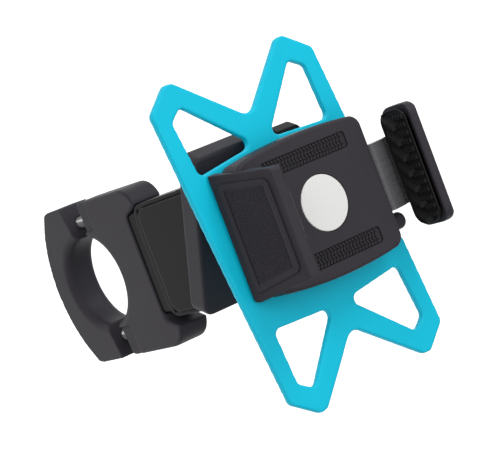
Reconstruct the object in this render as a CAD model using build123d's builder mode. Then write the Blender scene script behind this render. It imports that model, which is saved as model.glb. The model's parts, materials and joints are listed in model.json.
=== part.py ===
"""Handlebar phone mount: split bar clamp, tilting and turning cradle with a sprung jaw, rubber band.

Millimetres. The origin is the centre of the handlebar bore. X runs along the bar, Y up the phone's
long side, and Z out of the phone plate, towards the rider.

From back to front: the cap and base close round the bar with two screws. The neck is bolted to the
base and ends in a leaning plate with the ball socket. The ball stud's flange turns inside the
housing's boss. The housing and the phone plate close round the sliding jaw, which is shown closed.
"""
import os
from math import cos, radians, sin, tan

from build123d import *

os.makedirs("parts", exist_ok=True)

# ---------------------------------------------------------------- driving dimensions
# Handlebar clamp
bar_r = 15.9               # half of a 31.8 mm oversize handlebar
clamp_wall = 10.6          # wall of the cap outside the bar
clamp_w = 12.0             # width of both clamp halves along the bar
ear_y = bar_r + 5.1        # height of each clamp screw above or below the bar's axis
ear_top = bar_r + 12.1     # outer height of the ears
# Y and Z of the two split faces, which open outwards at the upper ear
cap_face = [(ear_top, -5.4), (bar_r - 0.7, -2.6), (0.7 - bar_r, -3.6), (-ear_top, -1.0)]
base_face = [(ear_top, 3.6), (bar_r - 0.9, 4.6), (0.7 - bar_r, 2.6), (-ear_top, 4.2)]
base_end = 33.6            # Z of the shallow dish in the base's end, where the neck sits
base_tip = 40.2            # Z of the rounded tips above and below the dish
bore_round = 2.8           # soft edge of the bore
ear_step = 1.3             # how much the base's ears are set back from its sides
ear_corner = -16.4         # Z where the cap's ears turn into its crown
screw_r = 2.0              # M4 clamp screws
screw_head_r, screw_head_h = 3.5, 4.0
screw_seat = -10.6         # Z of the seat under each screw head
screw_tip = 25.0
nut_z, nut_h, nut_flats = 15.6, 3.4, 7.0
bolt_r, bolt_head_r, bolt_head_h = 2.5, 4.25, 5.0     # M5 bolt that holds the neck

# Neck between clamp and cradle
neck_w = 12.0
neck_low, neck_high = -18.3, 21.4       # Y of its underside and top
seat_low, seat_high = 32.6, 37.9        # Z of the seat between the base and the neck
neck_start = 38.0          # Z of the neck's near end
panel_start = 2.9          # the side panels start this far up the neck

# Tilted swivel plate with the ball socket
lean = 26.0                # lean of the plate, top towards the cradle
plate_y, plate_z = 5.2, 84.66           # centre of its front face
plate_w, plate_h, plate_t = 33.0, 54.0, 7.5
ball_r = 6.5
ball_depth = 1.5           # ball centre below the plate's front face
cup_wall = 1.1
ring_r, ring_t = 11.6, 2.0
shank_r = 3.2
lever_t, lever_h = 4.2, 7.0             # lock lever behind the plate
lever_below = 9.8          # distance of its pin below the plate's top edge
lever_reach = 35.5

# Cradle
cradle_x, cradle_y = 14.0, 3.0          # centre of the phone plate
face_z = 112.0             # the phone's back rests here
face_half_w = 24.5         # half width of the phone plate
face_half_h = 21.6         # half height at its corners
face_bow = 1.7             # how far its long edges bow outwards
face_t = 2.8
shell_back = 101.6         # Z of the rear housing's back
floor_t = 2.4
shell_wall = 2.2
left_reach = 2.9           # how far the housing runs past the plate, under the fixed jaw
badge_r, badge_t = 9.0, 1.2
tread_in, tread_out = 13.3, 18.65       # inner and outer edge of each tread strip from the centre
tread_left, tread_right = -18.4, 16.6
tread_t = 1.2
flange_r, flange_t = 9.0, 2.1
boss_r = 13.0
retainer_r, retainer_t = 16.0, 1.6
band_t = 2.5
band_turn = 6.0            # the band sits turned a little
band_skew = 0.065          # and its loops are pulled slightly askew

# Jaws
jaw_len = 39.0             # length of the moving jaw's grip along the phone
foot_low, foot_high = -18.3, 23.9       # Y of the fixed jaw's foot
lip_low, lip_high = -15.3, 19.9         # Y of its lip
jaw_h = 12.0               # height of the fixed jaw above the phone plate
jaw_foot = 3.9             # how far its foot stands out past the housing
jaw_lean_in = 3.3          # its outer face ends this far inside the housing's end
grip_x = 33.0              # closed: inner face of the moving jaw from the plate's centre
grip_h = 10.4              # height of the moving jaw above the plate
arm_half, arm_t = 11.2, 3.4
jaw_travel = 30.0

gap = 0.3                  # clearance between pieces that move past each other
fit = 0.06                 # running clearance of a shaft in its hole

# ---------------------------------------------------------------- places that follow from them
lean_sin, lean_cos, lean_tan = sin(radians(lean)), cos(radians(lean)), tan(radians(lean))
ball_y = plate_y + ball_depth * lean_sin
ball_z = plate_z - ball_depth * lean_cos
front = Plane(origin=(0, plate_y, plate_z), x_dir=(1, 0, 0), z_dir=(0, -lean_sin, lean_cos))
socket = Plane(origin=(0, ball_y, ball_z), x_dir=(1, 0, 0), z_dir=(0, -lean_sin, lean_cos))
cup_r = ball_r + fit + cup_wall
lever_y = plate_h / 2 - lever_below     # up the plate from its centre
floor_z = shell_back + floor_t          # inner face of the housing's floor
lid_z = face_z - face_t                 # where the front plate sits on the housing
left_x = cradle_x - face_half_w - left_reach
right_x = cradle_x + face_half_w
band_z = shell_back - 0.2 - band_t      # back face of the band
retainer_z = band_z - gap - retainer_t
boss_z = retainer_z + retainer_t
flange_z = boss_z + 0.15
arm_z = floor_z + gap
jaw_x = cradle_x + grip_x
arm_start = left_x + shell_wall + 1.5
lug_end = arm_start + 2.4               # right face of the arm's two spring lugs
spring_y = arm_half + 4.0
spring_z = arm_z + arm_t / 2
spring_end = right_x - 11.5             # the springs push against ribs here
rail_x = lug_end + jaw_travel + 0.5     # the rails beside the arm start where the lugs stop


def finish(piece, name):
    """Label a piece and write it to its own file."""
    piece.part.label = name
    export_step(piece.part, f"parts/{name}.step")
    print(name, round(piece.part.volume, 1))


# ---------------------------------------------------------------- clamp cap and its screws
with BuildPart() as clamp_cap:
    with BuildSketch(Plane.YZ):
        with BuildLine():
            flank = (ear_top - 5.5, -20.2)
            crown = -(bar_r + clamp_wall)
            Polyline(cap_face[3], (-ear_top, ear_corner), (-flank[0], flank[1]))
            ThreePointArc((-flank[0], flank[1]), (0, crown), flank)
            Polyline([flank, (ear_top, ear_corner)] + cap_face)
        make_face()
        Circle(bar_r, mode=Mode.SUBTRACT)
    extrude(amount=clamp_w / 2, both=True)
    outer_edges = clamp_cap.edges().filter_by(Axis.X).filter_by(lambda e: abs(e.center().Y) > ear_top - 5)
    fillet(outer_edges.filter_by(lambda e: e.center().Z < ear_corner + 1), 3.2)
    rims = clamp_cap.edges().filter_by(lambda e: abs(abs(e.center().X) - clamp_w / 2) < 0.01)
    fillet(rims.filter_by(GeomType.CIRCLE).filter_by(lambda e: abs(e.radius - bar_r) < 0.01), bore_round)
    with Locations((0, ear_y, 0), (0, -ear_y, 0)):
        Cylinder(screw_r + fit, 60, mode=Mode.SUBTRACT)
    with Locations((0, ear_y, screw_seat), (0, -ear_y, screw_seat)):
        Cylinder(screw_head_r + gap, 30, align=(Align.CENTER, Align.CENTER, Align.MAX), mode=Mode.SUBTRACT)
finish(clamp_cap, "clamp_cap")

for name, side in (("clamp_screw_upper", 1), ("clamp_screw_lower", -1)):
    with BuildPart() as clamp_screw:
        with Locations((0, side * ear_y, screw_seat)):
            Cylinder(screw_head_r, screw_head_h, align=(Align.CENTER, Align.CENTER, Align.MAX))
            Cylinder(screw_r, screw_tip - screw_seat, align=(Align.CENTER, Align.CENTER, Align.MIN))
        chamfer(clamp_screw.edges().filter_by(GeomType.CIRCLE).sort_by(Axis.Z)[0], 0.4)
        chamfer(clamp_screw.edges().filter_by(GeomType.CIRCLE).sort_by(Axis.Z)[-1], 0.5)
        with BuildSketch(Plane.XY.offset(screw_seat - screw_head_h)):
            with Locations((0, side * ear_y)):
                RegularPolygon(1.5, 6, major_radius=False)
        extrude(amount=2.2, mode=Mode.SUBTRACT)
    finish(clamp_screw, name)

# ---------------------------------------------------------------- clamp base
tip_y, dish_y = ear_top - 6.5, ear_top - 9.5      # height of the tips, and of the dish's sides
with BuildPart() as clamp_base:
    with BuildSketch(Plane.YZ):
        with BuildLine():
            for side in (1, -1):
                Line(base_face[0 if side > 0 else 3], (side * ear_top, base_tip - 8))
                ThreePointArc((side * ear_top, base_tip - 8), (side * (ear_top - 1.8), base_tip - 2.9),
                              (side * tip_y, base_tip))
                Line((side * tip_y, base_tip), (side * dish_y, base_end))
            Line((dish_y, base_end), (-dish_y, base_end))
            Polyline(base_face)
        make_face()
        Circle(bar_r, mode=Mode.SUBTRACT)
    extrude(amount=clamp_w / 2, both=True)
    fillet(clamp_base.edges().filter_by(Axis.X).filter_by(
        lambda e: abs(abs(e.center().Y) - ear_top) < 0.01 and e.center().Z < 5), 1.6)
    rims = clamp_base.edges().filter_by(lambda e: abs(abs(e.center().X) - clamp_w / 2) < 0.01)
    fillet(rims.filter_by(GeomType.CIRCLE).filter_by(lambda e: abs(e.radius - bar_r) < 0.01), bore_round)
    fillet(clamp_base.edges().filter_by(Axis.X).filter_by(lambda e: abs(e.center().Z - base_end) < 0.01), 2.4)
    ends = clamp_base.edges().filter_by(lambda e: abs(abs(e.center().X) - clamp_w / 2) < 0.01)
    fillet(ends.filter_by(lambda e: e.center().Z > base_end - 1), 0.9)
    for side_x in (1, -1):                               # the ears are thinner than the ring
        for side_y in (1, -1):
            with Locations((side_x * clamp_w / 2, side_y * (ear_y + 4.5), 5.0)):
                Box(2 * ear_step, 16.0, 12.0, mode=Mode.SUBTRACT)
    with BuildSketch(Plane.XY.offset(seat_low)):
        with Locations((0, (neck_low + neck_high) / 2)):
            RectangleRounded(neck_w - 1.0, neck_high - neck_low - 3.0, 2.0)
    extrude(amount=base_tip - seat_low + 1, mode=Mode.SUBTRACT)
    with Locations((0, ear_y, 0), (0, -ear_y, 0)):
        Cylinder(screw_r + gap, screw_tip + 1, align=(Align.CENTER, Align.CENTER, Align.MIN),
                 mode=Mode.SUBTRACT)
    for side in (1, -1):
        with Locations((clamp_w / 4 - 2.1, side * ear_y, nut_z)):
            Box(clamp_w / 2 + 4.4, nut_flats + 0.1, nut_h + 0.1,
                align=(Align.CENTER, Align.CENTER, Align.MIN), mode=Mode.SUBTRACT)
    with Locations((0, 0, bar_r - 4)):
        Cylinder(bolt_head_r + gap, bolt_head_h + 5.4, align=(Align.CENTER, Align.CENTER, Align.MIN),
                 mode=Mode.SUBTRACT)
        Cylinder(bolt_r + 0.1, 60, align=(Align.CENTER, Align.CENTER, Align.MIN), mode=Mode.SUBTRACT)
finish(clamp_base, "clamp_base")

with BuildPart() as captive_nuts:
    for side in (1, -1):
        with BuildSketch(Plane.XY.offset(nut_z + 0.05)):
            with Locations((0, side * ear_y)):
                RegularPolygon(nut_flats / 2, 6, major_radius=False, rotation=0)
                Circle(screw_r + fit, mode=Mode.SUBTRACT)
        extrude(amount=nut_h - 0.1)
finish(captive_nuts, "captive_nuts")

# ---------------------------------------------------------------- neck and its seat
with BuildPart() as neck_seat:
    with BuildSketch(Plane.XY.offset(seat_low + 0.05)):
        with Locations((0, (neck_low + neck_high) / 2)):
            RectangleRounded(neck_w - 1.2, neck_high - neck_low - 3.2, 1.9)
    extrude(amount=seat_high - seat_low - 0.05)
    with Locations((0, 0, seat_low)):
        Cylinder(bolt_r + 0.1, 20, align=(Align.CENTER, Align.CENTER, Align.MIN), mode=Mode.SUBTRACT)
finish(neck_seat, "neck_seat")


def plate_back(y):
    """Z of the swivel plate's back face at height y."""
    return plate_z + (y - plate_y) * lean_tan - plate_t / lean_cos


def neck_outline(inset, start):
    """The neck's side outline from Z start, moved inwards by inset."""
    low, high = neck_low + inset, neck_high - inset
    back = inset / lean_cos
    with BuildSketch() as outline:
        with BuildLine():
            Polyline((low, start), (high, start), (high + 1.0, plate_back(high + 1.0) - back),
                     (low, plate_back(low) - back), (low, start))
        make_face()
    return outline.sketch


def lever_notch():
    """The room that the neck leaves for the lock lever behind the plate."""
    with BuildPart() as notch:
        with BuildSketch(front.offset(-plate_t + 1)):
            with Locations((0, lever_y - lever_h / 2 - 0.4)):
                Rectangle(neck_w + 6, 30, align=(Align.CENTER, Align.MIN))
        extrude(amount=-(lever_t + 2 * gap + 1.4))
    return notch.part


with BuildPart() as neck_block:
    with BuildSketch(Plane.YZ):
        add(neck_outline(0, neck_start))
    extrude(amount=neck_w / 2, both=True)
    fillet(neck_block.edges().filter_by(Axis.X).filter_by(lambda e: e.center().Z < neck_start + 1), 5.0)
    for side in (1, -1):
        with BuildSketch(Plane.YZ.offset(side * neck_w / 2)):
            add(neck_outline(1.5, neck_start + panel_start - 0.1))
        extrude(amount=-side * 0.6, mode=Mode.SUBTRACT)
    with Locations((0, ball_y, ball_z)):
        Sphere(cup_r + 0.12, mode=Mode.SUBTRACT)
    with Locations((0, 0, neck_start - 1)):
        Cylinder(bolt_r + 0.02, 17, align=(Align.CENTER, Align.CENTER, Align.MIN), mode=Mode.SUBTRACT)
    add(lever_notch(), mode=Mode.SUBTRACT)
finish(neck_block, "neck_block")

for name, side in (("neck_panel_left", -1), ("neck_panel_right", 1)):
    with BuildPart() as neck_panel:
        with BuildSketch(Plane.YZ.offset(side * (neck_w / 2 - 0.6))):
            add(neck_outline(1.6, neck_start + panel_start))
        extrude(amount=side * 1.4)
        near_end = neck_panel.edges().filter_by(Axis.X).group_by(Axis.Z)[0]
        fillet(near_end, 4.2)
        outside = neck_panel.faces().sort_by(Axis.X)[-1 if side > 0 else 0]
        fillet(outside.edges(), 0.5)
        add(lever_notch(), mode=Mode.SUBTRACT)
    finish(neck_panel, name)

with BuildPart() as neck_bolt:
    with Locations((0, 0, bar_r + 1.0)):
        Cylinder(bolt_head_r, bolt_head_h, align=(Align.CENTER, Align.CENTER, Align.MIN))
        Cylinder(bolt_r, 36, align=(Align.CENTER, Align.CENTER, Align.MIN))
    with BuildSketch(Plane.XY.offset(bar_r + 1.0)):
        RegularPolygon(2.0, 6, major_radius=False)
    extrude(amount=2.6, mode=Mode.SUBTRACT)
finish(neck_bolt, "neck_bolt")

# ---------------------------------------------------------------- swivel plate, ball socket, lock lever
with BuildPart() as swivel_plate:
    with BuildSketch(front):
        RectangleRounded(plate_w, plate_h, 3.5)
    extrude(amount=-plate_t)
    fillet(swivel_plate.faces().sort_by(Axis(front.origin, front.z_dir))[-1].edges(), 0.9)
    with BuildSketch(socket):
        Circle(cup_r + 0.05)
    extrude(amount=10, mode=Mode.SUBTRACT)
    with Locations((0, ball_y, ball_z)):
        Sphere(cup_r + 0.05, mode=Mode.SUBTRACT)
    with Locations(front):
        with PolarLocations(ring_r - 1.7, 4, start_angle=45):
            Cylinder(0.8, 5, align=(Align.CENTER, Align.CENTER, Align.MAX), mode=Mode.SUBTRACT)
finish(swivel_plate, "swivel_plate")

with BuildPart() as ball_cup:
    with BuildSketch(socket):
        Circle(cup_r)
    extrude(amount=ball_depth - 0.05)
    with Locations((0, ball_y, ball_z)):
        Sphere(cup_r)
    split(bisect_by=Plane(origin=front.origin, z_dir=front.z_dir).offset(-0.05), keep=Keep.BOTTOM)
    with Locations((0, ball_y, ball_z)):
        Sphere(ball_r + fit, mode=Mode.SUBTRACT)
finish(ball_cup, "ball_cup")

with BuildPart() as socket_ring:
    with BuildSketch(front):
        Circle(ring_r)
    extrude(amount=ring_t)
    chamfer(socket_ring.edges().filter_by(GeomType.CIRCLE).sort_by(Axis.Z)[-1], 0.6)
    with Locations((0, ball_y, ball_z)):
        Sphere(ball_r + fit, mode=Mode.SUBTRACT)
    with BuildSketch(front):
        Circle(ball_r - 0.75)
    extrude(amount=ring_t + 1, mode=Mode.SUBTRACT)
    with Locations(front.offset(ring_t)):
        with PolarLocations(ring_r - 1.7, 4, start_angle=45):
            CounterSinkHole(0.85, 1.5, depth=ring_t)
finish(socket_ring, "socket_ring")

with BuildPart() as ring_screws:
    with Locations(front.offset(ring_t - 0.1)):
        with PolarLocations(ring_r - 1.7, 4, start_angle=45):
            Cone(0.75, 1.4, 0.65, align=(Align.CENTER, Align.CENTER, Align.MAX))
            Cylinder(0.75, 5.6, align=(Align.CENTER, Align.CENTER, Align.MAX))
finish(ring_screws, "ring_screws")

# The lever lies behind the plate's top edge and turns on a pin in the plate.
back = front.offset(-plate_t - gap)
with BuildPart() as lock_lever:
    with BuildSketch(back):
        with Locations((0, lever_y)):
            Circle(lever_h / 2)
            Rectangle(lever_reach - 10, lever_h, align=(Align.MIN, Align.CENTER))
    extrude(amount=-lever_t)
    with BuildSketch(back):
        with Locations((0, lever_y)):
            Circle(1.5 + fit)
    extrude(amount=-lever_t, mode=Mode.SUBTRACT)
finish(lock_lever, "lock_lever")

with BuildPart() as lever_pad:
    with BuildSketch(back.offset(-0.2)):
        with Locations((lever_reach - 10, lever_y)):
            Rectangle(10, 8, align=(Align.MIN, Align.CENTER))
    extrude(amount=-lever_t - 0.6)
    fillet(lever_pad.edges().filter_by(Axis(back.origin, back.z_dir)).filter_by(
        lambda e: e.center().X > lever_reach - 1), 2.4)
finish(lever_pad, "lever_pad")

with BuildPart() as lever_pin:
    with BuildSketch(front.offset(-plate_t)):
        with Locations((0, lever_y)):
            Circle(1.5)
    extrude(amount=-lever_t - 2 * gap - 0.2)
    with BuildSketch(front.offset(-plate_t - lever_t - 2 * gap)):
        with Locations((0, lever_y)):
            Circle(2.6)
    extrude(amount=-1.0)
finish(lever_pin, "lever_pin")

# ---------------------------------------------------------------- ball stud that carries the cradle
swivel = (0, ball_y)
with BuildPart() as ball_stud:
    with Locations((0, ball_y, ball_z)):
        Sphere(ball_r)
    with Locations((0, ball_y, ball_z)):
        Cylinder(shank_r, flange_z - ball_z + 0.5, align=(Align.CENTER, Align.CENTER, Align.MIN))
    with Locations((0, ball_y, flange_z)):
        Cylinder(flange_r, flange_t, align=(Align.CENTER, Align.CENTER, Align.MIN))
    with Locations((0, ball_y, flange_z + flange_t - 0.1)):
        Cylinder(3.4, shell_back + 1.6 - flange_z - flange_t, align=(Align.CENTER, Align.CENTER, Align.MIN))
finish(ball_stud, "ball_stud")

roof_z = flange_z + flange_t + 0.7      # roof of the flange's pocket in the housing
with BuildPart() as friction_washer:
    with BuildSketch(Plane.XY.offset(flange_z + flange_t + 0.15)):
        with Locations(swivel):
            Circle(flange_r - 0.8)
            Circle(4.2, mode=Mode.SUBTRACT)
    extrude(amount=0.45)
finish(friction_washer, "friction_washer")

# ---------------------------------------------------------------- cradle housing
def housing_outline(inset):
    """Plan of the cradle: the phone plate with bowed long edges, and its tail under the fixed jaw."""
    half = face_half_h - inset
    left, right = left_x + inset, right_x - inset
    with BuildSketch() as outline:
        with BuildLine():
            ThreePointArc((left, cradle_y + half - 0.8), (cradle_x, cradle_y + half + face_bow),
                          (right, cradle_y + half))
            Line((right, cradle_y + half), (right, cradle_y - half))
            ThreePointArc((right, cradle_y - half), (cradle_x, cradle_y - half - face_bow),
                          (left, cradle_y - half + 0.8))
            Line((left, cradle_y - half + 0.8), (left, cradle_y + half - 0.8))
        make_face()
    return outline.sketch


corner_r, tail_r = 4.0, 4.5             # corner radii at the jaw's side and at the tail
post_x = (left_x + 9.0, right_x - 12.0)
post_y = face_half_h - 2.2
post_r = 2.0
post_places = [(x, cradle_y + s * post_y) for x in post_x for s in (1, -1)]
button_y, button_z, button_r = cradle_y - 15.2, lid_z - 3.4, 2.8
with BuildPart() as rear_housing:
    with BuildSketch(Plane.XY.offset(shell_back)):
        add(housing_outline(0))
    extrude(amount=lid_z - shell_back)
    for edges, radius in zip(rear_housing.edges().filter_by(Axis.Z).group_by(Axis.X), (tail_r, corner_r)):
        fillet(edges, radius)
    fillet(rear_housing.faces().sort_by(Axis.Z)[0].edges(), 1.6)
    with BuildSketch(Plane.XY.offset(floor_z)):
        add(housing_outline(shell_wall))
    extrude(amount=lid_z - floor_z, mode=Mode.SUBTRACT)
    with BuildSketch(Plane.XY.offset(floor_z)):          # screw posts and the two rails beside the arm
        with Locations(*post_places):
            Circle(post_r)
        for side in (1, -1):
            with Locations((rail_x, cradle_y + side * (arm_half + gap + 0.7))):
                Rectangle(right_x - rail_x, 1.4, align=(Align.MIN, Align.CENTER))
            with Locations((spring_end, cradle_y + side * (arm_half + 4.6))):
                Rectangle(1.2, 8.0, align=(Align.MIN, Align.CENTER))
    extrude(amount=lid_z - floor_z)
    with Locations((right_x, cradle_y, floor_z)):        # the arm's way out
        Box(12, 2 * (arm_half + gap), lid_z - floor_z + 1,
            align=(Align.CENTER, Align.CENTER, Align.MIN), mode=Mode.SUBTRACT)
    with BuildSketch(Plane.XY.offset(boss_z)):
        with Locations(swivel):
            Circle(boss_r)
    extrude(amount=shell_back - boss_z)
    with Locations((*swivel, boss_z)):
        Cylinder(flange_r + 0.1, roof_z - boss_z, align=(Align.CENTER, Align.CENTER, Align.MIN),
                 mode=Mode.SUBTRACT)
        Cylinder(3.4 + fit, 6.4, align=(Align.CENTER, Align.CENTER, Align.MIN), mode=Mode.SUBTRACT)
    with BuildSketch(Plane.XY.offset(boss_z)):
        with Locations(swivel):
            with PolarLocations(boss_r - 1.9, 4, start_angle=45):
                Circle(0.8)
    extrude(amount=4.2, mode=Mode.SUBTRACT)
    with BuildSketch(Plane.XY.offset(shell_back)):
        with Locations(*post_places):
            Circle(1.1)
    extrude(amount=lid_z - shell_back, mode=Mode.SUBTRACT)
    with Locations(Location((right_x - 8.4, button_y, button_z), (0, 90, 0))):
        Cylinder(button_r + 0.15, 12, align=(Align.CENTER, Align.CENTER, Align.MIN), mode=Mode.SUBTRACT)
finish(rear_housing, "rear_housing")

with BuildPart() as swivel_retainer:
    with BuildSketch(Plane.XY.offset(retainer_z)):
        with Locations(swivel):
            Circle(retainer_r)
            Circle(shank_r + 2.2, mode=Mode.SUBTRACT)
    extrude(amount=retainer_t)
    chamfer(swivel_retainer.edges().filter_by(GeomType.CIRCLE).group_by(Axis.Z)[0].sort_by(
        SortBy.RADIUS)[-1], 0.6)
    with Locations(Plane(origin=(*swivel, retainer_z), z_dir=(0, 0, -1))):
        with PolarLocations(boss_r - 1.9, 4, start_angle=45):
            CounterSinkHole(0.85, 1.5, depth=retainer_t)
finish(swivel_retainer, "swivel_retainer")

with BuildPart() as retainer_screws:
    with Locations(Plane(origin=(*swivel, retainer_z + 0.1), z_dir=(0, 0, -1))):
        with PolarLocations(boss_r - 1.9, 4, start_angle=45):
            Cone(0.75, 1.4, 0.65, align=(Align.CENTER, Align.CENTER, Align.MAX))
            Cylinder(0.75, 5.2, align=(Align.CENTER, Align.CENTER, Align.MAX))
finish(retainer_screws, "retainer_screws")

with BuildPart() as housing_screws:
    with Locations(*[(x, y, shell_back + 0.4) for x, y in post_places]):
        Cylinder(1.05, lid_z - shell_back - 0.6, align=(Align.CENTER, Align.CENTER, Align.MIN))
finish(housing_screws, "housing_screws")

# ---------------------------------------------------------------- phone plate and its trim
with BuildPart() as front_plate:
    with BuildSketch(Plane.XY.offset(lid_z)):
        add(housing_outline(0))
    extrude(amount=face_t)
    for edges, radius in zip(front_plate.edges().filter_by(Axis.Z).group_by(Axis.X), (tail_r, corner_r)):
        fillet(edges, radius)
    fillet(front_plate.faces().sort_by(Axis.Z)[-1].edges(), 1.2)
    with Locations((cradle_x, cradle_y, face_z - badge_t)):
        Cylinder(badge_r + 0.25, 3, align=(Align.CENTER, Align.CENTER, Align.MIN), mode=Mode.SUBTRACT)
    with BuildSketch(Plane.XY.offset(face_z - tread_t)):
        for side in (1, -1):
            with Locations((cradle_x + (tread_left + tread_right) / 2,
                            cradle_y + side * (tread_in + tread_out) / 2)):
                RectangleRounded(tread_right - tread_left, tread_out - tread_in, 1.2)
    extrude(amount=3, mode=Mode.SUBTRACT)
finish(front_plate, "front_plate")

with BuildPart() as badge_disc:
    with Locations((cradle_x, cradle_y, face_z - badge_t)):
        Cylinder(badge_r, badge_t, align=(Align.CENTER, Align.CENTER, Align.MIN))
    fillet(badge_disc.edges().filter_by(GeomType.CIRCLE).sort_by(Axis.Z)[-1], 0.3)
finish(badge_disc, "badge_disc")

for name, side in (("tread_strip_upper", 1), ("tread_strip_lower", -1)):
    with BuildPart() as tread_strip:
        with BuildSketch(Plane.XY.offset(face_z - tread_t)):
            with Locations((cradle_x + (tread_left + tread_right) / 2,
                            cradle_y + side * (tread_in + tread_out) / 2)):
                RectangleRounded(tread_right - tread_left - 0.3, tread_out - tread_in - 0.3, 1.1)
        extrude(amount=tread_t)
    finish(tread_strip, name)

# ---------------------------------------------------------------- fixed jaw
jaw_top = face_z + jaw_h
foot_z = shell_back + 0.4
with BuildPart() as fixed_jaw:
    with BuildSketch(Plane.XZ.offset(-foot_high)):
        with BuildLine():
            Polyline((left_x - jaw_foot, foot_z), (left_x + jaw_lean_in, jaw_top),
                     (left_x + 6.5, jaw_top + 0.6), (left_x + 7.9, jaw_top - 0.8),
                     (left_x + 5.3, jaw_top - 4), (left_x + 4.4, face_z + 3), (left_x + 4.8, face_z),
                     (left_x - 0.05, face_z), (left_x - 0.05, foot_z), (left_x - jaw_foot, foot_z))
        make_face()
    extrude(amount=foot_high - foot_low)
    with BuildSketch(Plane.YZ.offset(left_x - jaw_foot - 1)):       # the ends draw in towards the lip
        with BuildLine():
            Polyline((foot_low, foot_z - 1), (lip_low, jaw_top + 1), (lip_high, jaw_top + 1),
                     (foot_high, foot_z - 1), (foot_low, foot_z - 1))
        make_face()
        fillet(vertices().sort_by(Axis.Y)[1:3], 3.0)
    extrude(amount=20, mode=Mode.INTERSECT)
finish(fixed_jaw, "fixed_jaw")

# A panel with the fine grid lies in the jaw's sloping outer face.
slope_run = jaw_foot + jaw_lean_in
slope_rise = jaw_top - foot_z
slope_len = (slope_run ** 2 + slope_rise ** 2) ** 0.5
outward = Plane(origin=(left_x - jaw_foot + slope_run / 2, cradle_y, foot_z + slope_rise / 2),
                x_dir=(0, 1, 0), z_dir=(-slope_rise, 0, slope_run))
panel_half = slope_len / 2 - 2.3
with BuildPart() as grip_panel:
    with BuildSketch(outward.offset(0.02)):
        with BuildLine():
            Polyline((foot_low - cradle_y + 3.0, panel_half), (foot_high - cradle_y - 3.0, panel_half),
                     (lip_high - cradle_y - 2.4, -panel_half), (lip_low - cradle_y + 2.4, -panel_half),
                     (foot_low - cradle_y + 3.0, panel_half))
        make_face()
        fillet(vertices(), 2.0)
    extrude(amount=0.6)
finish(grip_panel, "grip_panel")

# ---------------------------------------------------------------- silicone band
def askew(x, y):
    """A point of the band after its loops are pulled askew."""
    return x, y - band_skew * x + 0.4


def band_corners(sx, sy):
    """One quarter of the band's outline, from the notch between two loops to the end of its side strap."""
    return [askew(0, sy * 36.7), askew(sx * 21.6, sy * 55.9), askew(sx * 24.6, sy * 56.2),
            askew(sx * 33.6, sy * 49.2), askew(sx * 33.8, sy * 19.0)]


def loop_hole(sx, sy):
    """The opening of one corner loop."""
    with BuildSketch() as hole:
        with BuildLine():
            corners = [(2.9, 28.3), (22.6, 48.2), (27.8, 44.6), (27.2, 26.2)]
            corners = [askew(sx * x, sy * y) for x, y in corners]
            Polyline(corners + corners[:1])
        make_face()
        fillet(hole.vertices(), 2.1)
    return hole.sketch


band_centre = Plane(origin=(cradle_x - 3.0, cradle_y - 4.0, band_z), x_dir=Vector(1, 0, 0).rotate(
    Axis.Z, band_turn), z_dir=(0, 0, 1))
boss_in_band = band_centre.to_local_coords(Vector(swivel[0], swivel[1], band_z))
with BuildPart() as band:
    with BuildSketch(band_centre):
        with BuildLine():
            upper_right, lower_right = band_corners(1, 1), band_corners(1, -1)
            upper_left, lower_left = band_corners(-1, 1), band_corners(-1, -1)
            Polyline(upper_left[::-1] + upper_right[1:])
            ThreePointArc(upper_right[-1], (27.0, 0), lower_right[-1])
            Polyline(lower_right[::-1] + lower_left[1:])
            Line(lower_left[-1], upper_left[-1])
        make_face()
        notches = vertices().filter_by(lambda v: abs(v.Y - 0.4) < 38 and abs(v.Y) > 30)
        fillet(vertices() - notches, 2.4)
        fillet(vertices().filter_by(lambda v: 30 < abs(v.Y) < 38), 4.5)
        for sx in (1, -1):
            for sy in (1, -1):
                add(loop_hole(sx, sy), mode=Mode.SUBTRACT)
        with Locations((boss_in_band.X, boss_in_band.Y)):
            Circle(boss_r + 0.3, mode=Mode.SUBTRACT)
    extrude(amount=band_t)
finish(band, "band")

# ---------------------------------------------------------------- sliding jaw
shell_x = jaw_x + 3.2
screw_places = [Location((shell_x + 1.8, cradle_y + side * 7, spring_z), (0, -90, 0)) for side in (1, -1)]
with BuildPart() as slide_arm:
    with Locations((arm_start, cradle_y, arm_z)):
        Box(jaw_x + 2.2 - arm_start, 2 * arm_half, arm_t, align=(Align.MIN, Align.CENTER, Align.MIN))
        Box(lug_end - arm_start, 2 * (spring_y + 1.3), arm_t, align=(Align.MIN, Align.CENTER, Align.MIN))
    with BuildSketch(Plane.XZ.offset(-(cradle_y + arm_half))):
        with BuildLine():
            rib_x, rib_top = right_x + gap, face_z - 1.0
            Polyline((rib_x, arm_z + arm_t - 0.5), (rib_x, rib_top - 1.6), (rib_x + 1.6, rib_top),
                     (rib_x + 3.0, rib_top - 0.4), (jaw_x, rib_top - 2.2), (jaw_x + 2, arm_z + arm_t - 0.5),
                     (rib_x, arm_z + arm_t - 0.5))
        make_face()
    extrude(amount=2 * arm_half)
    with Locations(*screw_places):
        Cylinder(1.0, 9, align=(Align.CENTER, Align.CENTER, Align.MIN), mode=Mode.SUBTRACT)
finish(slide_arm, "slide_arm")

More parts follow.
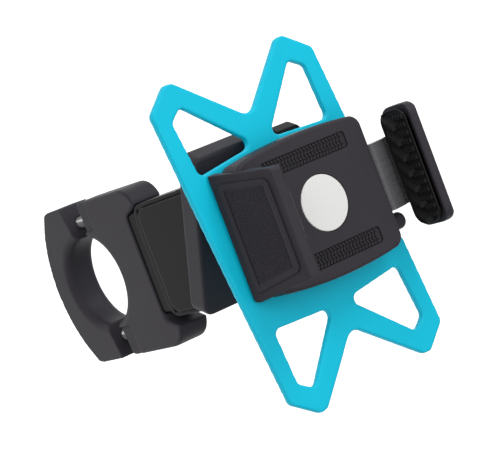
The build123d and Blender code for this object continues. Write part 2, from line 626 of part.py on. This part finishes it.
shell_low = lid_z - 0.5                 # the jaw's shell starts here, above the arm
jaw_top_z = face_z + grip_h + 2.0
with BuildPart() as moving_jaw:
    with BuildSketch(Plane.XZ.offset(-(cradle_y + jaw_len / 2 + 0.5))):
        with BuildLine():
            Polyline((jaw_x + 2.2, shell_low), (shell_x + 1.6, shell_low), (shell_x + 2.4, face_z + 4),
                     (shell_x + 2.0, jaw_top_z - 1.0), (shell_x + 1.0, jaw_top_z),
                     (shell_x - 0.8, jaw_top_z), (shell_x - 1.8, jaw_top_z - 0.8),
                     (jaw_x + 2.2, jaw_top_z - 2.2), (jaw_x + 2.2, shell_low))
        make_face()
    extrude(amount=jaw_len + 1)
    with BuildSketch(Plane.YZ.offset(jaw_x)):
        with Locations((cradle_y, (shell_low + jaw_top_z) / 2)):
            RectangleRounded(jaw_len + 1, jaw_top_z - shell_low, 5.0)
    extrude(amount=12, mode=Mode.INTERSECT)
    with Locations((jaw_x + 2.2, cradle_y, arm_z)):
        Box(3.0, 2 * arm_half, shell_low - arm_z + 1, align=(Align.MIN, Align.CENTER, Align.MIN))
    with Locations(*screw_places):
        Cylinder(1.0, 9, align=(Align.CENTER, Align.CENTER, Align.MIN), mode=Mode.SUBTRACT)
finish(moving_jaw, "moving_jaw")

fin_count, fin_pitch = 7, 5.2
pad_low, pad_high = lid_z + 0.4, jaw_top_z - 2.3
with BuildPart() as jaw_pad:
    with BuildSketch(Plane.YZ.offset(jaw_x + 0.7)):
        with Locations((cradle_y, (pad_low + pad_high) / 2)):
            RectangleRounded(jaw_len - 1.0, pad_high - pad_low, 4.2)
    extrude(amount=1.45)
    for i in range(fin_count):
        fin_y = cradle_y + (i - (fin_count - 1) / 2) * fin_pitch
        with Locations((jaw_x - 0.6, fin_y, pad_low + 1.2)):
            Box(1.5, 2.4, 5.6, align=(Align.MIN, Align.CENTER, Align.MIN))
finish(jaw_pad, "jaw_pad")

with BuildPart() as jaw_screws:
    with Locations(*screw_places):
        Cylinder(1.0, 8.6, align=(Align.CENTER, Align.CENTER, Align.MIN))
finish(jaw_screws, "jaw_screws")

# ---------------------------------------------------------------- springs and lock button
for name, side in (("jaw_spring_upper", 1), ("jaw_spring_lower", -1)):
    with BuildPart() as jaw_spring:
        with Locations(Location((lug_end, cradle_y + side * spring_y, spring_z), (0, 90, 0))):
            Cylinder(1.7, spring_end - lug_end, align=(Align.CENTER, Align.CENTER, Align.MIN))
            Cylinder(1.2, spring_end - lug_end, align=(Align.CENTER, Align.CENTER, Align.MIN),
                     mode=Mode.SUBTRACT)
    finish(jaw_spring, name)

with BuildPart() as lock_button:
    with Locations(Location((right_x - 5.5, button_y, button_z), (0, 90, 0))):
        Cylinder(button_r, 12.5, align=(Align.CENTER, Align.CENTER, Align.MIN))
    fillet(lock_button.edges().filter_by(GeomType.CIRCLE).sort_by(Axis.X)[-1], 1.8)
finish(lock_button, "lock_button")

with BuildPart() as button_spring:
    with Locations(Location((spring_end + 1.2, button_y, button_z), (0, 90, 0))):
        Cylinder(1.6, 4.7, align=(Align.CENTER, Align.CENTER, Align.MIN))
        Cylinder(1.2, 4.7, align=(Align.CENTER, Align.CENTER, Align.MIN), mode=Mode.SUBTRACT)
finish(button_spring, "button_spring")
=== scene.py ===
# %% [markdown]
# # A handlebar phone mount
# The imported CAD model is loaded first. It fixes every size and every joint, so each
# surface made below is placed from the boxes of its nodes. Lengths are in metres,
# and MM turns a maker's millimetres into them.

# %% Load the frame
import json
from math import radians

import bmesh
import bpy
from mathutils import Matrix, Vector

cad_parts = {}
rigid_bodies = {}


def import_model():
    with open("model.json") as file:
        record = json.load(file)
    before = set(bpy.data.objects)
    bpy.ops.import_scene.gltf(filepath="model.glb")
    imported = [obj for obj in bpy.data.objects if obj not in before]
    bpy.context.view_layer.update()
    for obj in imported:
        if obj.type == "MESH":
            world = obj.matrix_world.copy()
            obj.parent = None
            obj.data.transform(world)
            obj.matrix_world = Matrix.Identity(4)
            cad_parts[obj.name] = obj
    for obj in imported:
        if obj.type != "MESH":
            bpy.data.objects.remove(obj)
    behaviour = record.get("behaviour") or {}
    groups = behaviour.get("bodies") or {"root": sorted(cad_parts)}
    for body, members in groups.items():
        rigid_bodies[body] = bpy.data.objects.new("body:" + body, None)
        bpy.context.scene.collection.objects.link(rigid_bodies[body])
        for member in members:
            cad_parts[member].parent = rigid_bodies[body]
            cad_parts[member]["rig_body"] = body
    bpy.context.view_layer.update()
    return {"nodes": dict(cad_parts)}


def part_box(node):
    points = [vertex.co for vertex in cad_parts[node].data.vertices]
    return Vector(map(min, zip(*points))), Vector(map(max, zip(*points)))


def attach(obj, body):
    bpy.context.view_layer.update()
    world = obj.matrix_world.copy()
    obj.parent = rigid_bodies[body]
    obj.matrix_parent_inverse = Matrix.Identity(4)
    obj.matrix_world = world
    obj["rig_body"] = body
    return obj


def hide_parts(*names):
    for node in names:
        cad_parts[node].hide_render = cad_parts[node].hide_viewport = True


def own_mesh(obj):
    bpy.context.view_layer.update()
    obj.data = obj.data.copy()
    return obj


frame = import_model()
MM = 0.001

# %% [markdown]
# ## Camera, floor and light
# The view is a long lens from above and to the left of the plate, a little rolled, so the
# camera gets its whole matrix rather than three angles. The floor is pale and lies far
# below, so the mount seems to float in an even, bright studio with three soft lamps. One
# stands to the left, one above the plate's top edge, and one over the floor.

# %% Camera
scene = bpy.context.scene
camera_data = bpy.data.cameras.new("view")
camera_data.lens, camera_data.sensor_width = 158.4, 36.0
camera = bpy.data.objects.new("view", camera_data)
scene.collection.objects.link(camera)
right, up, back = (0.7491, -0.3542, 0.5598), (0.3238, 0.9330, 0.1570), (-0.5779, 0.0637, 0.8136)
place = (-0.399021, 0.048074, 0.651748)
camera.matrix_world = Matrix([[right[i], up[i], back[i], place[i]] for i in range(3)] + [[0, 0, 0, 1]])
scene.camera = camera
print("camera at", place)

# %% [markdown]
# The lamps are square and soft. The third only brightens the floor, so that the mount
# stands against an almost white ground.

# %% Floor and lamps
scene.view_settings.view_transform = "Standard"
world = scene.world or bpy.data.worlds.new("studio")
scene.world = world
world.use_nodes = True
world.node_tree.nodes["Background"].inputs["Color"].default_value = (1.0, 1.0, 1.0, 1.0)
world.node_tree.nodes["Background"].inputs["Strength"].default_value = 0.42

floor_z = -0.45
bpy.ops.object.select_all(action="DESELECT")
bpy.ops.mesh.primitive_plane_add(size=6.0, location=(0, 0, floor_z))
floor = bpy.context.active_object
floor.name = "floor"


def lamp(name, place, target, size, power):
    """A square soft lamp at place that shines towards target."""
    data = bpy.data.lights.new(name, "AREA")
    data.size, data.energy = size, power
    light = bpy.data.objects.new(name, data)
    light.location = place
    light.rotation_euler = (Vector(target) - Vector(place)).to_track_quat("-Z", "Y").to_euler()
    scene.collection.objects.link(light)


lamp("left_lamp", (-0.75, 0.55, 0.55), (0, 0, 0.05), 0.5, 2.5)
lamp("top_lamp", (0.35, 0.9, 0.7), (0, 0, 0.1), 0.5, 6.2)
lamp("floor_lamp", (0.0, 0.0, 0.9), (0, 0, floor_z), 1.2, 5.0)

# %% [markdown]
# ## Writing shader maths
# A finish is easier to read as a formula than as a web of nodes. Wire holds one output
# socket, and arithmetic on it adds Math nodes. Finish holds one material, and its node
# method adds any other node. What is the same all over a surface is set straight on the
# shader's own sockets.

# %% Shader helpers
class Wire:
    """One output socket of a node tree, on which + - * add Math nodes."""

    def __init__(self, tree, socket):
        self.tree, self.socket = tree, socket

    def math(self, operation, first, second):
        node = self.tree.nodes.new("ShaderNodeMath")
        node.operation = operation
        for socket, value in zip(node.inputs, (first, second)):
            plug(self.tree, socket, value)
        return Wire(self.tree, node.outputs[0])

    def __add__(self, other):
        return self.math("ADD", self, other)

    def __sub__(self, other):
        return self.math("SUBTRACT", self, other)

    def __rsub__(self, other):
        return self.math("SUBTRACT", other, self)

    def __mul__(self, other):
        return self.math("MULTIPLY", self, other)

    __radd__, __rmul__ = __add__, __mul__


def plug(tree, socket, value):
    """Link a wire to a socket, or set the socket to a plain value."""
    if isinstance(value, Wire):
        tree.links.new(value.socket, socket)
    elif isinstance(value, tuple) and len(value) == 3 and socket.type == "RGBA":
        socket.default_value = (*value, 1.0)
    else:
        socket.default_value = value


class Finish:
    """One material. fixed gives the shader's even values, such as Metallic=1.0."""

    def __init__(self, name, **fixed):
        self.material = bpy.data.materials.new(name)
        self.material.use_nodes = True
        self.tree = self.material.node_tree
        self.shader = self.tree.nodes["Principled BSDF"]
        for socket, value in fixed.items():
            self.shader.inputs[socket.replace("_", " ")].default_value = value
        self.place = self.node("ShaderNodeTexCoord", out="Object")

    def node(self, kind, settings=None, out=0, **inputs):
        """Add a node with its settings and inputs, and return one output. _6 is input number 6."""
        node = self.tree.nodes.new(kind)
        for key, value in (settings or {}).items():
            setattr(node, key, value)
        for name, value in inputs.items():
            socket = int(name[1:]) if name[1:].isdigit() else name.replace("_", " ")
            plug(self.tree, node.inputs[socket], value)
        return Wire(self.tree, node.outputs[out])

    def noise(self, scale, detail=2.0, place=None):
        """Cloudy values around a half, with features 1/scale metres across."""
        return self.node("ShaderNodeTexNoise", Vector=place or self.place, Scale=scale, Detail=detail)

    def colour(self, dark, light, factor):
        """Mix two colours by a wire and feed Base Color."""
        self.feed("Base Color", self.node(
            "ShaderNodeMix", {"data_type": "RGBA"}, out=2, _0=factor, _6=dark, _7=light))

    def feed(self, socket, value):
        plug(self.tree, self.shader.inputs[socket], value)

    def bump(self, height, depth):
        """Raise the surface by a height wire, depth metres from 0 to 1."""
        self.feed("Normal", self.node("ShaderNodeBump", Strength=1.0, Distance=depth, Height=height))


# %% [markdown]
# ## Finishes
# The shells are charcoal plastic moulded in a spark-eroded tool, which leaves a fine even
# grain: a tiny bump, a slight mottle in colour, and a broad soft change of gloss where
# hands have rubbed it. The band is matte silicone, the grips are black rubber, the arm is
# polished, and the screws are zinc-plated.

# %% Plastics
def grained_plastic(name, dark, light, grain, depth, rough, specular=0.14):
    """A moulded plastic between two colours, its grain so many metres across and deep."""
    finish = Finish(name, Specular_IOR_Level=specular)
    fine = finish.noise(1 / grain, 3.0)
    broad = finish.noise(60.0, 2.0)
    finish.colour(dark, light, fine * 0.6 + broad * 0.4)
    finish.feed("Roughness", rough + (broad - 0.5) * 0.16 + (fine - 0.5) * 0.1)
    finish.bump(fine, depth)
    return finish.material


shell = grained_plastic("charcoal_shell", (0.019, 0.0172, 0.0212), (0.041, 0.037, 0.045),
                        0.35 * MM, 0.06 * MM, 0.5)
# The smooth shell is the charcoal plastic with a finer, glossier grain, and its colour is several
# times darker: painted shade on the neck pieces and the ball cup.
smooth_shell_painted_shade = grained_plastic("charcoal_smooth_painted_shade", (0.004, 0.0037, 0.0041), (0.009, 0.0083, 0.0093),
                               0.9 * MM, 0.012 * MM, 0.34, 0.08)
rubber = grained_plastic("black_rubber", (0.008, 0.0075, 0.008), (0.018, 0.017, 0.018),
                         0.3 * MM, 0.05 * MM, 0.55)
tread_rubber = grained_plastic("tread_rubber", (0.016, 0.0145, 0.0165), (0.034, 0.031, 0.035),
                               0.3 * MM, 0.04 * MM, 0.6)

# %% [markdown]
# The silicone is a saturated cyan with a dusty sheen. The badge is a satin disc with a thin
# lacquer, and the arm is a polished bar, drawn along its length.

# %% Silicone, badge and polished arm
silicone = Finish("cyan_silicone", Specular_IOR_Level=0.18)
dust = silicone.noise(2600.0, 3.0)
cloud = silicone.noise(45.0, 2.0)
silicone.colour((0.0, 0.40, 0.56), (0.0, 0.50, 0.68), cloud * 0.7 + dust * 0.3)
silicone.feed("Roughness", 0.5 + (cloud - 0.5) * 0.2)
silicone.bump(dust, 0.03 * MM)

badge = Finish("satin_badge", Coat_Roughness=0.2)
ring_grain = badge.noise(1500.0, 4.0)
badge.colour((0.60, 0.60, 0.585), (0.70, 0.70, 0.685), ring_grain)
badge.feed("Roughness", 0.34 + ring_grain * 0.14)
badge.feed("Coat Weight", ring_grain * 0.3)
badge.bump(ring_grain, 0.02 * MM)

polished = Finish("polished_arm", Specular_IOR_Level=0.6, Coat_Roughness=0.12)
streaks = polished.noise(300.0, 4.0, polished.node(
    "ShaderNodeMapping", Vector=polished.place, Scale=(0.12, 3.0, 1.0)))
polished.colour((0.085, 0.083, 0.088), (0.13, 0.127, 0.134), streaks)
polished.feed("Roughness", 0.2 + streaks * 0.16)
polished.feed("Coat Weight", 0.3 + streaks * 0.3)
polished.bump(streaks, 0.004 * MM)

# %% [markdown]
# Steel parts are zinc-plated and the ball stud is anodised. A thread and a coil are ridges
# that a wave lays across the piece. The floor's paint glows a little, so that no shadow
# greys it.

# %% Metals and floor
def plated(name, dark, light, thread_pitch=None):
    """A mottled metal between two colours, with a thread's ridges along Z where a pitch is given."""
    finish = Finish(name, Metallic=1.0)
    mottle = finish.noise(900.0, 4.0)
    finish.colour(dark, light, mottle)
    finish.feed("Roughness", 0.24 + mottle * 0.18)
    if thread_pitch:
        ridges = finish.node("ShaderNodeTexWave", {"bands_direction": "Z", "wave_profile": "TRI"},
                             out=1, Vector=finish.place, Scale=0.314 / thread_pitch)
        finish.bump(ridges, 0.35 * MM)
    else:
        finish.bump(mottle, 0.01 * MM)
    return finish.material


steel = plated("zinc_steel", (0.42, 0.42, 0.43), (0.62, 0.62, 0.63))
threaded = plated("zinc_thread", (0.36, 0.36, 0.37), (0.60, 0.60, 0.61), 0.7 * MM)
anodised = plated("grey_anodised", (0.20, 0.20, 0.21), (0.30, 0.30, 0.31))
# The spring's colour runs from near-black between the turns to bright steel on them: painted shade in
# the gaps, while the same wave also raises the turns as ridges.
coiled = Finish("spring_wire", Metallic=1.0, Roughness=0.3)
turn_ridges_and_gap_shade = coiled.node("ShaderNodeTexWave", {"bands_direction": "X"}, out=1,
                    Vector=coiled.place, Scale=260.0)
coiled.colour((0.08, 0.08, 0.08), (0.60, 0.60, 0.61), turn_ridges_and_gap_shade)
coiled.bump(turn_ridges_and_gap_shade, 0.3 * MM)

floor_paint = Finish("pale_floor", Roughness=0.9, Emission_Color=(1.0, 1.0, 1.0, 1.0),
                     Emission_Strength=0.5)
floor_grain = floor_paint.noise(3.0)
floor_paint.colour((0.93, 0.93, 0.93), (0.97, 0.97, 0.97), floor_grain)
floor.data.materials.append(floor_paint.material)
print("finishes", len(bpy.data.materials))

# %% [markdown]
# ## Modelling helpers
# Every operator acts on what is selected, so each step starts by selecting one piece
# alone. A moulded piece has no sharp edge. Its CAD surface is copied, its loose triangles
# are merged, it is remeshed at a fine even size, and smoothing rounds every edge a little,
# as a polished tool does.

# %% Helpers
def solo(piece):
    """Select one piece and nothing else."""
    bpy.ops.object.select_all(action="DESELECT")
    piece.select_set(True)
    bpy.context.view_layer.objects.active = piece


def apply_all(piece):
    solo(piece)
    for modifier in list(piece.modifiers):
        bpy.ops.object.modifier_apply(modifier=modifier.name)


def settle(piece):
    """Put the piece's place, turn and scale into its mesh."""
    solo(piece)
    bpy.ops.object.transform_apply(location=True, rotation=True, scale=True)


def dress(piece, material, node, smooth=40):
    """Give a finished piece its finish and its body."""
    piece.data.materials.clear()
    piece.data.materials.append(material)
    solo(piece)
    bpy.ops.object.shade_smooth_by_angle(angle=radians(smooth))
    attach(piece, frame["nodes"][node]["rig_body"])
    print(piece.name, len(piece.data.polygons), "faces")


def copy_of(node, name):
    """A new object with the CAD node's surface, its triangles merged."""
    piece = bpy.data.objects.new(name, frame["nodes"][node].data.copy())
    scene.collection.objects.link(piece)
    solo(piece)
    bpy.ops.object.mode_set(mode="EDIT")
    bpy.ops.mesh.select_all(action="SELECT")
    bpy.ops.mesh.remove_doubles(threshold=0.002 * MM)
    bpy.ops.object.mode_set(mode="OBJECT")
    return piece


def moulded(node, name, material, voxel=0.4, passes=5):
    """Replace a CAD node by its softened surface, voxel millimetres fine."""
    piece = copy_of(node, name)
    remesh = piece.modifiers.new("remesh", "REMESH")
    remesh.mode, remesh.voxel_size = "VOXEL", voxel * MM
    soften = piece.modifiers.new("soften", "SMOOTH")
    soften.factor, soften.iterations = 0.5, passes
    apply_all(piece)
    dress(piece, material, node, 60)
    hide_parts(node)
    return piece


# %% [markdown]
# ## The moulded shells
# The clamp halves, the neck, the swivel plate, the housing and both jaws are one kind of
# piece: a solid moulding with soft edges. The band gets the most smoothing, because
# silicone comes out of its mould with fully rounded rims.

# %% Shells and band
# The neck pieces wear the darker smooth shell, whose colour holds painted shade.
for node, name, material, voxel, passes in (
        ("clamp_cap", "cap_shell", shell, 0.4, 6),
        ("clamp_base", "base_shell", shell, 0.4, 6),
        ("neck_seat", "seat_shell", smooth_shell_painted_shade, 0.3, 4),
        ("neck_block", "neck_shell", smooth_shell_painted_shade, 0.4, 5),
        ("neck_panel_left", "neck_cheek_left", smooth_shell_painted_shade, 0.3, 5),
        ("neck_panel_right", "neck_cheek_right", smooth_shell_painted_shade, 0.3, 5),
        ("swivel_plate", "swivel_shell", shell, 0.4, 5),
        ("rear_housing", "housing_shell", shell, 0.35, 3),
        ("fixed_jaw", "fixed_jaw_shell", shell, 0.3, 5),
        ("moving_jaw", "moving_jaw_shell", shell, 0.3, 5),
        ("lock_lever", "lever_arm", shell, 0.3, 4),
        ("lever_pad", "lever_grip", rubber, 0.3, 5),
        ("band", "silicone_band", silicone.material, 0.4, 8)):
    moulded(node, name, material, voxel, passes)

# %% [markdown]
# ## Finishes on the pieces that keep their CAD shape
# Screws, the ball stud, the badge and other machined pieces have the right shape already,
# so they only get their finish.

# %% CAD pieces
# The ball cup wears the darker smooth shell, whose colour holds painted shade.
for node, material in {
        "front_plate": shell, "badge_disc": badge.material, "slide_arm": polished.material,
        "lock_button": shell, "socket_ring": shell, "swivel_retainer": shell, "ball_cup": smooth_shell_painted_shade,
        "ball_stud": anodised, "clamp_screw_upper": threaded, "clamp_screw_lower": threaded,
        "captive_nuts": steel, "neck_bolt": steel, "ring_screws": steel, "retainer_screws": steel,
        "housing_screws": steel, "jaw_screws": steel, "lever_pin": steel, "friction_washer": steel,
        "button_spring": coiled.material}.items():
    mesh = frame["nodes"][node].data
    mesh.materials.clear()
    mesh.materials.append(material)
print("CAD pieces dressed")

# %% [markdown]
# The jaw's springs stay with the housing at one end and are squeezed as the jaw slides out.
# Each is a copy of its CAD shape that moves with the housing.

# %% Jaw springs
for node in ("jaw_spring_upper", "jaw_spring_lower"):
    low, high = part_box(node)
    coil = copy_of(node, node.replace("spring", "coil"))
    dress(coil, coiled.material, node)
    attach(coil, frame["nodes"]["rear_housing"]["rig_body"])
    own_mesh(coil)
    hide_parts(node)


# %% [markdown]
# ## Rims, treads and grips
# A ridge that follows a rounded rectangle is a plane whose corners are bevelled, whose
# face is inset, and whose ring is pulled up. Small repeated shapes are made once and
# laid out by Array modifiers. Each grip is built flat around the origin, then joined and
# carried to its place.

# %% Ridge and tile helpers
def rounded_face(width, height, corner):
    """A new plane at the origin with rounded corners, left in edit mode with its face selected."""
    bpy.ops.object.select_all(action="DESELECT")
    bpy.ops.mesh.primitive_plane_add(size=1.0)
    piece = bpy.context.active_object
    piece.scale = (width, height, 1.0)
    settle(piece)
    bpy.ops.object.mode_set(mode="EDIT")
    bpy.ops.mesh.select_all(action="SELECT")
    bpy.ops.mesh.bevel(offset=corner, segments=5, affect="VERTICES")
    bpy.ops.mesh.select_all(action="SELECT")
    return piece


def ridge(width, height, corner, thick, rise):
    """A raised ring along a rounded rectangle, thick wide and rise high, from Z = 0 up."""
    piece = rounded_face(width, height, corner)
    bpy.ops.mesh.inset(thickness=thick)
    bpy.ops.mesh.delete(type="FACE")
    bpy.ops.mesh.select_all(action="SELECT")
    bpy.ops.mesh.extrude_region_move(TRANSFORM_OT_translate={"value": (0, 0, rise)})
    bpy.ops.mesh.select_all(action="SELECT")
    bpy.ops.mesh.normals_make_consistent(inside=False)
    bpy.ops.object.mode_set(mode="OBJECT")
    edge = piece.modifiers.new("round", "BEVEL")
    edge.width, edge.segments = min(thick, rise) * 0.4, 2
    apply_all(piece)
    return piece


def slab(width, height, corner, thick):
    """A rounded plate from Z = 0 up to thick."""
    piece = rounded_face(width, height, corner)
    bpy.ops.mesh.extrude_region_move(TRANSFORM_OT_translate={"value": (0, 0, thick)})
    bpy.ops.mesh.select_all(action="SELECT")
    bpy.ops.mesh.normals_make_consistent(inside=False)
    bpy.ops.object.mode_set(mode="OBJECT")
    return piece


def stud(width, height, rise, top, slant=0.0):
    """A small block at the origin whose top face is scaled by top and pushed along X by slant."""
    bpy.ops.object.select_all(action="DESELECT")
    bpy.ops.mesh.primitive_cube_add(size=1.0, location=(0, 0, rise / 2))
    piece = bpy.context.active_object
    piece.scale = (width, height, rise)
    settle(piece)
    bpy.ops.object.mode_set(mode="EDIT")
    bpy.ops.mesh.select_all(action="DESELECT")
    cage = bmesh.from_edit_mesh(piece.data)
    for face in cage.faces:
        face.select_set(face.normal.z > 0.9)
    bmesh.update_edit_mesh(piece.data)
    bpy.ops.transform.resize(value=(top, top, 1.0))
    bpy.ops.transform.translate(value=(slant, 0, 0))
    bpy.ops.object.mode_set(mode="OBJECT")
    return piece


def lean(piece, shift):
    """Push the half of a piece above Y = 0 along X."""
    solo(piece)
    bpy.ops.object.mode_set(mode="EDIT")
    cage = bmesh.from_edit_mesh(piece.data)
    for vertex in cage.verts:
        vertex.select_set(vertex.co.y > 0)
    bmesh.update_edit_mesh(piece.data)
    bpy.ops.transform.translate(value=(shift, 0, 0))
    bpy.ops.object.mode_set(mode="OBJECT")


def put(piece, x, y, z):
    """Move a piece and settle it there."""
    piece.location = (x, y, z)
    settle(piece)


def tile(piece, count_x, count_y, step_x, step_y):
    """Repeat a piece in a centred grid."""
    for count, step in ((count_x, (step_x, 0, 0)), (count_y, (0, step_y, 0))):
        array = piece.modifiers.new("array", "ARRAY")
        array.count, array.use_relative_offset, array.use_constant_offset = count, False, True
        array.constant_offset_displace = step
    apply_all(piece)
    put(piece, -(count_x - 1) * step_x / 2, -(count_y - 1) * step_y / 2, 0)


def joined(pieces, name, matrix):
    """Join pieces into one, put it in place, and return it at the origin."""
    solo(pieces[0])
    for piece in pieces[1:]:
        piece.select_set(True)
    bpy.ops.object.join()
    piece = bpy.context.active_object
    piece.name = piece.data.name = name
    piece.matrix_world = matrix
    settle(piece)
    return piece


# %% [markdown]
# Each tread strip is a bed that carries four rows of small blocks. The rows lean left and
# right by turns, like a tyre's tread.

# %% Tread strips
block_step, row_step = 1.35 * MM, 1.24 * MM
slant = 0.6 * MM                                    # how far a block's far edge leans
for node in ("tread_strip_upper", "tread_strip_lower"):
    low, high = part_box(node)
    width, height, thick = high - low
    parts = [slab(width, height, 1.1 * MM, thick - 0.5 * MM)]
    for row, side in ((-1.5, 1), (-0.5, -1), (0.5, 1), (1.5, -1)):
        block = stud(0.92 * MM, 1.12 * MM, 0.46 * MM, 0.8)
        lean(block, side * slant)
        tile(block, int(width / block_step) - 1, 1, block_step, 0)
        put(block, -side * slant / 2, row * row_step, thick - 0.52 * MM)
        parts.append(block)
    centre = Matrix.Translation(((low.x + high.x) / 2, (low.y + high.y) / 2, low.z))
    strip = joined(parts, node.replace("strip", "rubber"), centre)
    dress(strip, tread_rubber, node)
    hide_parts(node)

# %% [markdown]
# The fixed jaw's outer face slopes, and its panel draws in towards the lip. The panel has a
# broad raised border and a field of small pyramids. It is built as a rectangle, which is
# tapered before it is turned to lie in the slope.

# %% Gridded outer panel of the fixed jaw
low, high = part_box("grip_panel")
outward = Vector((-22.0, 0, 7.2)).normalized()      # square to the jaw's outer face
along = Vector((0, 1, 0))
across = outward.cross(along)                       # down the face, towards the foot
panel_t, corner = 0.6 * MM, 2.0 * MM
draw_in = 5.8 * MM                                  # how much narrower the lip end is
panel_w = high.y - low.y - draw_in / 2              # width half way up
rise = (high.z - low.z - panel_t * outward.z) / abs(across.z)
border_w, pitch = 2.0 * MM, 0.95 * MM
field = 2 * border_w + 0.2 * MM                     # what the border takes off each way
bed = slab(panel_w, rise, corner, 0.22 * MM)
border = ridge(panel_w, rise, corner, border_w, panel_t)
teeth = stud(0.8 * MM, 0.8 * MM, 0.34 * MM, 0.3)
put(teeth, 0, 0, 0.2 * MM)
tile(teeth, int((panel_w - field) / pitch), int((rise - field) / pitch), pitch, pitch)
for piece in (bed, border, teeth):
    taper = piece.modifiers.new("taper", "SIMPLE_DEFORM")
    taper.deform_method, taper.deform_axis, taper.lock_z = "TAPER", "Y", True
    taper.factor = draw_in / panel_w * (piece.dimensions.y / rise)
    apply_all(piece)
middle = (low + high) / 2 - outward * panel_t / 2
turn = Matrix((along, across, outward)).transposed().to_4x4()
panel = joined([bed, border, teeth], "jaw_grid_panel", Matrix.Translation(middle) @ turn)
dress(panel, shell, "grip_panel")
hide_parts("grip_panel")

# %% [markdown]
# The pad has seven slanting fins along its lower edge, where a phone's side rests, and four
# rows of scallops above them. The thin rim round them is the edge of the pad's tray.

# %% Rubber pad of the moving jaw
low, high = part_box("jaw_pad")
pad_w, pad_h = high.y - low.y, high.z - low.z
tray = slab(pad_w, pad_h, 4.2 * MM, 1.0 * MM)
rim = ridge(pad_w, pad_h, 4.2 * MM, 0.5 * MM, 1.5 * MM)
fin_slant = 3.4 * MM
fins = stud(2.4 * MM, 6.8 * MM, 1.9 * MM, 0.5, 0.9 * MM)
lean(fins, fin_slant)
put(fins, -fin_slant / 2, 0, 0.9 * MM)
tile(fins, 7, 1, 5.2 * MM, 0)
put(fins, 0, 4.4 * MM - pad_h / 2, 0)
scallops = stud(2.2 * MM, 1.15 * MM, 1.1 * MM, 0.5, 0.3 * MM)
put(scallops, 0, 0, 0.9 * MM)
tile(scallops, 13, 4, 2.7 * MM, 1.3 * MM)
put(scallops, 0, pad_h / 2 - 3.3 * MM, 0)
inward = Matrix(((0, 0, -1), (-1, 0, 0), (0, 1, 0))).to_4x4()       # the pad faces -X
pad = joined([tray, rim, fins, scallops], "jaw_rubber",
             Matrix.Translation((high.x, (low.y + high.y) / 2, (low.z + high.z) / 2)) @ inward)
dress(pad, rubber, "jaw_pad")
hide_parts("jaw_pad")
